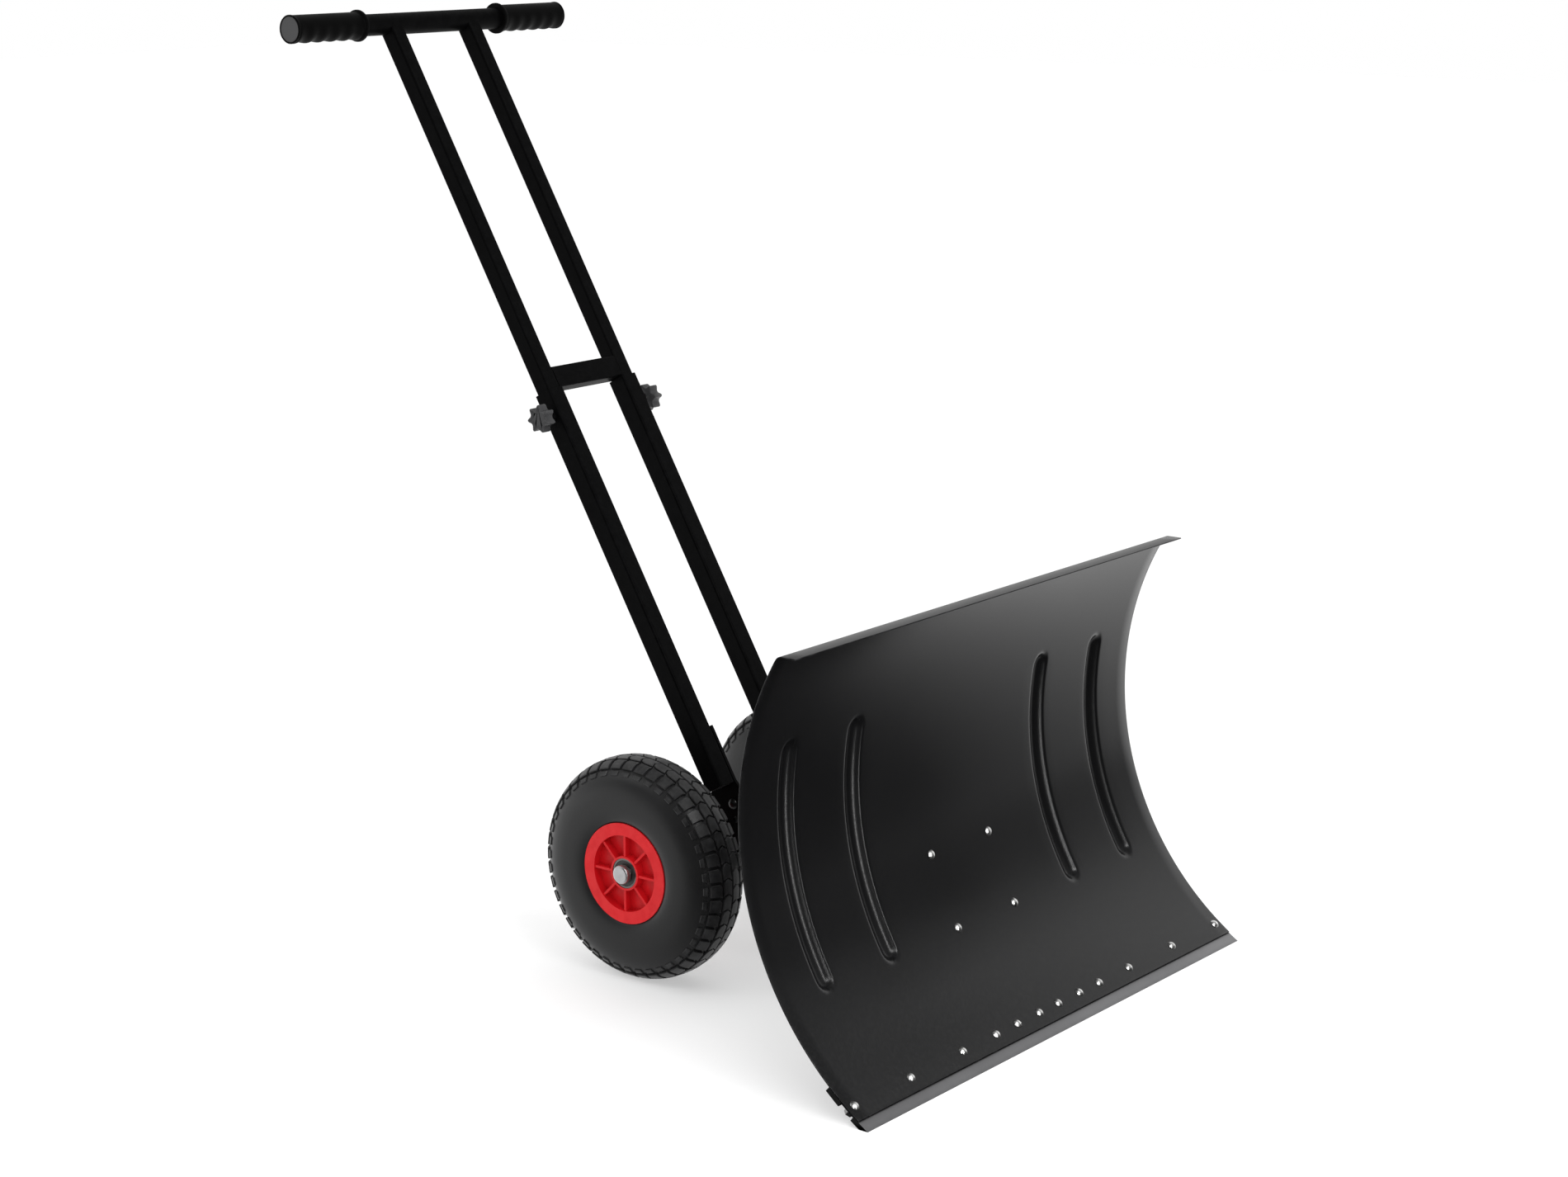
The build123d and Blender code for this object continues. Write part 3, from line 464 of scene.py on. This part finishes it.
for node, part in frame["nodes"].items():
    part.data.materials.clear()
    part.data.materials.append(materials[cad_slot[node]])
    round_edges(node, ROUND.get(node, ROUND_ELSEWHERE))
print("edges rounded on", len(frame["nodes"]), "nodes")

# %% [markdown]
# ## From bmesh to a piece of the object
# New pieces are built in a bmesh with modelling operators. This helper welds doubles, turns the
# faces outwards, names the piece, hangs it on its moving body and hides the node it stands for.

# %% Piece helper
SHARP_TURN = radians(32)
DOUBLES = 0.002 * MM


def make_piece(name, mesh_tool, body, slots, stands_for, closed=True):
    bmesh.ops.remove_doubles(mesh_tool, verts=mesh_tool.verts, dist=DOUBLES)
    if closed:
        bmesh.ops.recalc_face_normals(mesh_tool, faces=mesh_tool.faces)
    mesh = bpy.data.meshes.new(name)
    mesh_tool.to_mesh(mesh)
    mesh_tool.free()
    mesh.shade_smooth()
    mesh.set_sharp_from_angle(angle=SHARP_TURN)
    for slot in slots:
        mesh.materials.append(materials[slot])
    piece = bpy.data.objects.new(name, mesh)
    bpy.context.scene.collection.objects.link(piece)
    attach(piece, body)
    if stands_for:
        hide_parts(stands_for)
    print(f"{name}: {len(mesh.polygons)} faces")
    return piece


def loop_of(mesh_tool, points):
    """Vertices joined in a row by edges; returns (vertices, edges)."""
    verts = [mesh_tool.verts.new(point) for point in points]
    edges = [mesh_tool.edges.new(pair) for pair in zip(verts, verts[1:])]
    return verts, edges


# %% [markdown]
# ## Blade
# The real blade is one sheet, rolled to a radius, with four ribs pressed into it and its top edge
# folded forward to a level lip. It could be a flat grid bent by a modifier, but spinning a row of
# points about the roll's own axis gives the arc exactly, and a second spin makes the fold. The row
# has its points close together only where a rib will be. The press is then a formula: how deep the
# sheet goes depends on its distance from the rib's centre line, with a soft shoulder as a press
# tool leaves. Solidify gives the gauge of the sheet, and a small bevel rounds its sheared edge.

# %% Blade dimensions
SHEET = 1.5 * MM
BLADE_RADIUS = 344.5 * MM
BLADE_LOW = -56.2
RIB_PLACES = (-292 * MM, -177.5 * MM, 177.5 * MM, 292 * MM)
RIB_LOW, RIB_HIGH = -31.4, 9.2
RIB_RADIUS = 15 * MM
RIB_DEPTH = 7 * MM
RIB_SHOULDER = 1.6 * MM
LIP_BEND = 8 * MM
LIP_LENGTH = 21 * MM
FOLD = 31.2                          # where the arc would meet the lip without the bend
ROW_STEP = 0.5                       # degrees between rows of the arc
BEND_STEPS = 8
COLUMN_STEP = 1.3 * MM               # between columns across a rib
COLUMNS_EACH_SIDE = 14
WIDE_COLUMNS = 36
RIB_CLEAR = 20 * MM                  # wide columns keep this far from a rib's centre
SHOULDER_FADE = 3 * MM
ROLL_Z = 295.4 * MM

blade_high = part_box("blade_sheet")[1]
half_width = blade_high.x
roll_y = blade_high.y - RIB_DEPTH - SHEET - BLADE_RADIUS
bend_z = blade_high.z - LIP_BEND - SHEET
bend_rise = (bend_z - ROLL_Z) / (BLADE_RADIUS - LIP_BEND)
bend_y = roll_y + (BLADE_RADIUS - LIP_BEND) * sqrt(1 - bend_rise ** 2)
lip_front = roll_y + BLADE_RADIUS * cos(radians(FOLD)) - LIP_LENGTH
print("blade", round(2 * half_width / MM), "mm wide, roll axis at y", round(roll_y / MM, 1), "mm")


# %% Blade sheet
def roll_turn(y, z):
    """Angle of a point about the roll's axis, up from straight back."""
    return Vector((y - roll_y, z - ROLL_Z)).angle_signed(Vector((1, 0)))


def from_rib(x):
    """Distance across the sheet to the nearest rib's centre line."""
    return min(abs(x - place) for place in RIB_PLACES)


def rib_press(x, y, z):
    """How far the press pushes this point of the sheet back."""
    across = from_rib(x)
    turn = roll_turn(y, z)
    beyond = max(radians(RIB_LOW) - turn, turn - radians(RIB_HIGH), 0) * BLADE_RADIUS
    away = sqrt(across ** 2 + beyond ** 2)
    cut = sqrt(max(RIB_RADIUS ** 2 - away ** 2, 0)) - RIB_RADIUS + RIB_DEPTH
    return (cut + sqrt(cut ** 2 + RIB_SHOULDER ** 2)) / 2 if away < RIB_RADIUS else edge_fade(away)


def edge_fade(away):
    """The press's soft shoulder, dying out just beyond the tool."""
    floor = RIB_DEPTH - RIB_RADIUS
    rest = (floor + sqrt(floor ** 2 + RIB_SHOULDER ** 2)) / 2
    return rest * max(0.0, 1 - (away - RIB_RADIUS) / SHOULDER_FADE)


def blade_columns():
    """X of each column: close together across a rib, wide apart between ribs."""
    steps = range(-COLUMNS_EACH_SIDE, COLUMNS_EACH_SIDE + 1)
    fine = [place + step * COLUMN_STEP for place in RIB_PLACES for step in steps]
    wide = [-half_width + step * 2 * half_width / WIDE_COLUMNS for step in range(WIDE_COLUMNS + 1)]
    return sorted(fine + [x for x in wide if from_rib(x) > RIB_CLEAR])


def edges_of(items):
    return [item for item in items if isinstance(item, bmesh.types.BMEdge)]


def verts_of(items):
    return [item for item in items if isinstance(item, bmesh.types.BMVert)]


sheet = bmesh.new()
start = radians(BLADE_LOW)
low_y, low_z = roll_y + BLADE_RADIUS * cos(start), ROLL_Z + BLADE_RADIUS * sin(start)
row = loop_of(sheet, [(x, low_y, low_z) for x in blade_columns()])[1]
bend_start = roll_turn(bend_y, bend_z)
arc_steps = round((bend_start - start) / radians(ROW_STEP))
spun = bmesh.ops.spin(sheet, geom=row, cent=(0, roll_y, ROLL_Z), axis=(1, 0, 0),
                      angle=bend_start - start, steps=arc_steps)
for vertex in sheet.verts:
    outward = Vector((0, vertex.co.y - roll_y, vertex.co.z - ROLL_Z)).normalized()
    vertex.co += outward * rib_press(*vertex.co)
spun = bmesh.ops.spin(sheet, geom=edges_of(spun["geom_last"]), cent=(0, bend_y, bend_z),
                      axis=(1, 0, 0), angle=pi / 2 - bend_start, steps=BEND_STEPS)
row = edges_of(spun["geom_last"])
grown = bmesh.ops.extrude_edge_only(sheet, edges=row)["geom"]
for vertex in verts_of(grown):
    vertex.co.y = lip_front
sheet.faces.ensure_lookup_table()
sample = sheet.faces[0]
if sample.normal.dot(Vector((0, roll_y, ROLL_Z)) - sample.calc_center_median()) < 0:
    bmesh.ops.reverse_faces(sheet, faces=sheet.faces)
blade = make_piece("blade_sheet_pressed", sheet, "blade", ["blade_coat"], "blade_sheet",
                   closed=False)
gauge = blade.modifiers.new("gauge", "SOLIDIFY")
gauge.thickness = SHEET
gauge.offset = -1
sheared = blade.modifiers.new("sheared_edge", "BEVEL")
sheared.width = 0.4 * MM
sheared.segments = 2
sheared.limit_method = "ANGLE"
sheared.angle_limit = radians(60)

# %% [markdown]
# ## Tyres
# The wheel has a foamed rubber tyre with a smooth sidewall and a block tread: small lugs on the
# shoulder, a row of square blocks, and slanted blocks that interlock along the middle. The carcass
# is a profile spun about the axle. One pitch of tread is drawn flat, each block extruded and
# bevelled, then that pitch is laid round the carcass by working out where each flat point lands on
# it.

# %% Tyre profile
TYRE_RADIUS = 130 * MM
PITCHES = 44
PITCH = 2 * pi * TYRE_RADIUS / PITCHES
CARCASS_STEPS = 3 * PITCHES
BLOCK_ROOT = 0.8 * MM                # how far a block reaches into the carcass
BLOCK_ROUND = 0.7 * MM
CUTS = (-23.5, -33.3, -6.5, 6.5, 23.5, 33.3)   # lines across which the blocks can bend, in mm


def tyre_curve(*points, steps):
    """Smooth curve through (radius, offset) knots given as knot, handle, handle, knot."""
    spans = [Vector((radius * MM, offset * MM, 0)) for radius, offset in points]
    curve = interpolate_bezier(*spans, steps)
    return [(point.x, point.y) for point in curve]


crown = tyre_curve((127, 0), (127.2, 26), (113, 37.5), (86, 37.4), steps=28)
sidewall = tyre_curve((86, 37.4), (72, 37.4), (63, 36.8), (59.2, 33.6), steps=12)
bead = [(r * MM, x * MM) for r, x in ((57.0, 32.0), (57.0, 30.5), (53.2, 29.0))]
print(f"tyre {2 * TYRE_RADIUS / MM:.0f} mm across, {PITCHES} pitches of {PITCH / MM:.1f} mm")


def on_crown(distance):
    """(radius, offset, normal radius, normal offset) at a distance from the tyre's middle line."""
    side = 1 if distance >= 0 else -1
    left = abs(distance)
    for (r0, x0), (r1, x1) in zip(crown, crown[1:]):
        run = sqrt((r1 - r0) ** 2 + (x1 - x0) ** 2)
        if left <= run:
            share = left / run
            along = Vector((r1 - r0, x1 - x0)) / run
            place = Vector((r0, x0)) + along * left
            return place.x, side * place.y, along.y, side * -along.x
        left -= run
    return crown[-1][0], side * crown[-1][1], 0, side


# %% One pitch of tread
BLOCKS = [                           # (height, outline) of each block, in mm
    (3.0, [(0.6, 0.8), (17.6, 0.8), (21.8, 6.2), (20.0, 10.4), (15.0, 12.8), (2.2, 12.8),
           (4.6, 6.2)]),
    (3.0, [(0.9, 14.9), (13.8, 14.9), (17.3, 17.8), (17.3, 28.4), (2.6, 28.4), (2.6, 17.8)]),
    (1.5, [(3.2, 30.6), (15.6, 30.6), (14.6, 36.4), (4.4, 36.4)]),
]


def tread_pitch():
    """Flat tread of one pitch: x runs round the tyre, y across it, z is height."""
    flat = bmesh.new()
    for half in (1, -1):
        for height, outline in BLOCKS:
            shift = 0 if half == 1 else PITCH / 2
            points = [(x * MM + shift, half * y * MM, -BLOCK_ROOT) for x, y in outline[::half]]
            base = flat.faces.new([flat.verts.new(point) for point in points])
            raised = bmesh.ops.extrude_face_region(flat, geom=[base], use_keep_orig=True)["geom"]
            bmesh.ops.translate(flat, verts=verts_of(raised), vec=(0, 0, height * MM + BLOCK_ROOT))
            bmesh.ops.bevel(flat, geom=edges_of(raised), offset=BLOCK_ROUND, segments=1,
                            profile=0.5, affect="EDGES", material=-1)
    for distance in CUTS:
        geometry = flat.verts[:] + flat.edges[:] + flat.faces[:]
        bmesh.ops.bisect_plane(flat, geom=geometry, plane_co=(0, distance * MM, 0),
                               plane_no=(0, 1, 0))
    bmesh.ops.recalc_face_normals(flat, faces=flat.faces)
    mesh = bpy.data.meshes.new("tread_pitch")
    flat.to_mesh(mesh)
    flat.free()
    return mesh


# %% Tyres
def make_tyre(side, pitch_mesh):
    centre = joint_place[f"{side}_wheel_spin"]
    tyre = bmesh.new()
    half = crown + sidewall[1:] + bead
    outline = [(r, -x) for r, x in half[:0:-1]] + half
    points = [centre + Vector((x, 0, r)) for r, x in outline]
    verts, edges = loop_of(tyre, points)
    edges.append(tyre.edges.new((verts[-1], verts[0])))
    bmesh.ops.spin(tyre, geom=edges, cent=centre, axis=(1, 0, 0), angle=2 * pi, steps=CARCASS_STEPS,
                   use_merge=True)
    for number in range(PITCHES):
        before = len(tyre.verts)
        tyre.from_mesh(pitch_mesh)
        tyre.verts.ensure_lookup_table()
        for vertex in tyre.verts[before:]:
            radius, offset, rise, lean = on_crown(vertex.co.y)
            turn = (number * PITCH + vertex.co.x) / TYRE_RADIUS
            radius += rise * vertex.co.z
            offset += lean * vertex.co.z
            vertex.co = centre + Vector((offset, radius * sin(turn), radius * cos(turn)))
    make_piece(f"{side}_tyre_treaded", tyre, f"{side}_wheel", ["tyre"], f"{side}_tyre")


pitch_mesh = tread_pitch()
for side in SIDES:
    make_tyre(side, pitch_mesh)

# %% [markdown]
# ## Grips
# A grip is a closed rubber sleeve pushed on the bar: a flange keeps the hand from the bare tube,
# and finger hollows run along the underside only. It is a spun profile with many rings along its
# length, and the rings are then pushed in and out under the hand by a wave that fades round the
# sides.

# %% Grips
GRIP_RADIUS = 16 * MM
GRIP_FLANGE = 18.5 * MM
FINGERS = 5
FINGER_DEPTH = 1.6 * MM
GRIP_RINGS = 84
GRIP_STEPS = 56
SKIN = 15.9 * MM                     # only the sleeve's outer face takes the finger wave
handle_joint = next(joint for joint in frame["joints"] if joint["name"] == "handle_height")
tube_lean = Vector(handle_joint["axis"])
bar_low, bar_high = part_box("handlebar")
bar_axis = (bar_low + bar_high) / 2


def make_grip(side, sign):
    low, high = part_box(f"{side}_grip")
    length = high.x - low.x
    inner = bar_axis + Vector((sign * min(abs(low.x), abs(high.x)), 0, 0))
    bore = (bar_high.z - bar_low.z) / 2
    flange = [(0, bore), (0, 17.4 * MM), (0.6 * MM, 18.2 * MM), (1.4 * MM, GRIP_FLANGE),
              (3.6 * MM, GRIP_FLANGE), (4.6 * MM, 18.1 * MM), (5.4 * MM, 17.0 * MM),
              (6.6 * MM, 16.3 * MM)]
    body_start, body_end = 8 * MM, length - 3.2 * MM
    body_length = body_end - body_start
    sleeve = [(body_start + step * body_length / GRIP_RINGS, GRIP_RADIUS)
              for step in range(GRIP_RINGS + 1)]
    tail = [(length - 2.2 * MM, 16.5 * MM), (length - 0.9 * MM, 16.5 * MM),
            (length - 0.2 * MM, 16.0 * MM), (length, 15.3 * MM), (length - 0.1 * MM, 14.6 * MM),
            (length - 0.7 * MM, 14.3 * MM), (length - 0.7 * MM, 0)]
    grip = bmesh.new()
    profile = [(length - 4 * MM, 0), (length - 4 * MM, bore)] + flange + sleeve + tail
    points = [inner + Vector((sign * along, 0, radius)) for along, radius in profile]
    edges = loop_of(grip, points)[1]
    bmesh.ops.spin(grip, geom=edges, cent=inner, axis=(1, 0, 0), angle=2 * pi, steps=GRIP_STEPS,
                   use_merge=True)
    bmesh.ops.remove_doubles(grip, verts=grip.verts, dist=0.01 * MM)
    for vertex in grip.verts:
        along = sign * (vertex.co.x - inner.x)
        spoke = vertex.co - inner
        spoke.x = 0
        if spoke.length < SKIN or not body_start <= along <= body_end:
            continue
        under = max(0.0, -spoke.normalized().dot(tube_lean)) ** 1.5
        share = (along - body_start) / body_length
        wave = cos(2 * pi * FINGERS * share)
        vertex.co += spoke.normalized() * under * FINGER_DEPTH * (0.5 * wave - 0.1)
    bmesh.ops.recalc_face_normals(grip, faces=grip.faces)
    for face in grip.faces:
        middle = face.calc_center_median() - inner
        at_end = sign * middle.x > length - 1.2 * MM
        if at_end and Vector((0, middle.y, middle.z)).length < 14.2 * MM:
            face.material_index = 1
    make_piece(f"{side}_grip_moulded", grip, "handle", ["grip_rubber", "grip_end"], f"{side}_grip")


for side, sign in SIDES.items():
    make_grip(side, sign)

# %% [markdown]
# ## Star knobs
# The clamp knobs are moulded stars with seven lobes. The outline is a circle whose radius swells
# and shrinks seven times. It is extruded, its rims are bevelled round, and the face is inset and
# sunk to leave the shallow dish that such knobs have.

# %% Star knobs
LOBES = 7
OUTLINE_STEPS = 16 * LOBES
OUTLINE_TURNS = [2 * pi * step / OUTLINE_STEPS for step in range(OUTLINE_STEPS)]


def star_radius(turn, diameter):
    lobe = 0.5 + 0.5 * cos(LOBES * turn)
    return diameter * (0.36 + 0.14 * lobe ** 1.5)


def closed_outline(mesh_tool, radii):
    """A ring of vertices at these radii, and the edges that close it."""
    verts = [mesh_tool.verts.new((radius * cos(turn), radius * sin(turn), 0))
             for radius, turn in zip(radii, OUTLINE_TURNS)]
    edges = [mesh_tool.edges.new(pair) for pair in zip(verts, verts[1:] + verts[:1])]
    return verts, edges


def make_knob(name, body, node, place, axis, diameter, thickness, bore):
    """Knob standing on place, its face looking along axis."""
    knob = bmesh.new()
    star = [star_radius(turn, diameter) for turn in OUTLINE_TURNS]
    outer, star_edges = closed_outline(knob, star)
    if bore:
        hole_edges = closed_outline(knob, [bore] * OUTLINE_STEPS)[1]
        bmesh.ops.bridge_loops(knob, edges=star_edges + hole_edges)
    else:
        knob.faces.new(outer)
    base = knob.faces[:]
    raised = bmesh.ops.extrude_face_region(knob, geom=base, use_keep_orig=True)["geom"]
    bmesh.ops.translate(knob, verts=verts_of(raised), vec=(0, 0, thickness))
    bmesh.ops.recalc_face_normals(knob, faces=knob.faces)
    corner = [edge for edge in knob.edges
              if edge.is_manifold and edge.calc_face_angle() > radians(70)
              and edge.verts[0].co.xy.length > 0.3 * diameter]
    bmesh.ops.bevel(knob, geom=corner, offset=0.035 * diameter, segments=3, profile=0.5,
                    affect="EDGES", material=-1)
    face = [item for item in knob.faces
            if item.normal.z > 0.99 and item.calc_center_median().z > 0.99 * thickness]
    if not bore:
        bmesh.ops.inset_region(knob, faces=face, thickness=0.08 * diameter, use_even_offset=True)
        face = [item for item in face if item.is_valid]
        sunk = {vertex for item in face for vertex in item.verts}
        bmesh.ops.translate(knob, verts=list(sunk), vec=(0, 0, -0.05 * diameter))
    turn = Vector((0, 0, 1)).rotation_difference(axis).to_matrix().to_4x4()
    bmesh.ops.transform(knob, matrix=Matrix.Translation(place) @ turn, verts=knob.verts)
    make_piece(name, knob, body, ["knob_plastic"], node)


STAND_OFF = 2 * MM                   # the knob's neck, between its lobes and what it presses on
for side, sign in SIDES.items():
    low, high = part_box(f"{side}_height_knob")
    place = joint_place[f"{side}_knob_turn"].copy()
    place.x = (low.x if sign > 0 else high.x) + sign * STAND_OFF
    make_knob(f"{side}_star_knob", f"{side}_clamp_knob", f"{side}_height_knob", place,
              Vector((sign, 0, 0)), 33 * MM, 13 * MM, 0)
low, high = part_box("swivel_knob")
place = joint_place["swivel_knob_turn"].copy()
place.z = low.z + STAND_OFF
make_knob("swivel_star_knob", "swivel_clamp_knob", "swivel_knob", place, Vector((0, 0, 1)),
          46 * MM, 16 * MM, 7 * MM)

# %% [markdown]
# ## Floor
# The floor is one white sheet, far wider than the picture, so that its edge never shows. Part of
# its white is its own faint glow, as on a light table, which keeps the shadows pale. To glossy
# surfaces it shows the same soft change from flag to screen as the room does, so that both agree in
# a reflection.

# %% Floor
FLOOR_SIZE = 30.0
FLOOR_GLOW = 0.42
FLAG_EDGE = {"From Min": -0.30, "From Max": 0.10, "To Min": 0.0, "To Max": 1.6}
paper = bmesh.new()
bmesh.ops.create_grid(paper, x_segments=1, y_segments=1, size=FLOOR_SIZE / 2)
floor_mesh = bpy.data.meshes.new("floor")
paper.to_mesh(floor_mesh)
paper.free()
floor = bpy.data.objects.new("floor", floor_mesh)
bpy.context.scene.collection.objects.link(floor)
floor_material, floor_shader = finish("floor_paper", (0.56, 0.56, 0.56), (0.57, 0.57, 0.57),
                                      (0.7, 0.8), 2.0)
floor_shader.inputs["Specular IOR Level"].default_value = 0.1
floor_shader.inputs["Emission Color"].default_value = (1, 1, 1, 1)
floor_shader.inputs["Emission Strength"].default_value = FLOOR_GLOW
tree = floor_material.node_tree
flag = tree.nodes.new("ShaderNodeEmission")
across = tree.nodes.new("ShaderNodeVectorMath")
across.operation = "DOT_PRODUCT"
across.inputs[1].default_value = SCREEN_SIDE
edge = tree.nodes.new("ShaderNodeMapRange")
for title, value in FLAG_EDGE.items():
    edge.inputs[title].default_value = value
either = tree.nodes.new("ShaderNodeMixShader")
tree.links.new(own_place(tree), across.inputs[0])
tree.links.new(across.outputs["Value"], edge.inputs["Value"])
tree.links.new(edge.outputs["Result"], flag.inputs["Strength"])
tree.links.new(tree.nodes.new("ShaderNodeLightPath").outputs["Is Glossy Ray"], either.inputs[0])
tree.links.new(floor_shader.outputs[0], either.inputs[1])
tree.links.new(flag.outputs[0], either.inputs[2])
tree.links.new(either.outputs[0], tree.nodes["Material Output"].inputs["Surface"])
floor_mesh.materials.append(floor_material)
print("floor", FLOOR_SIZE, "m wide")
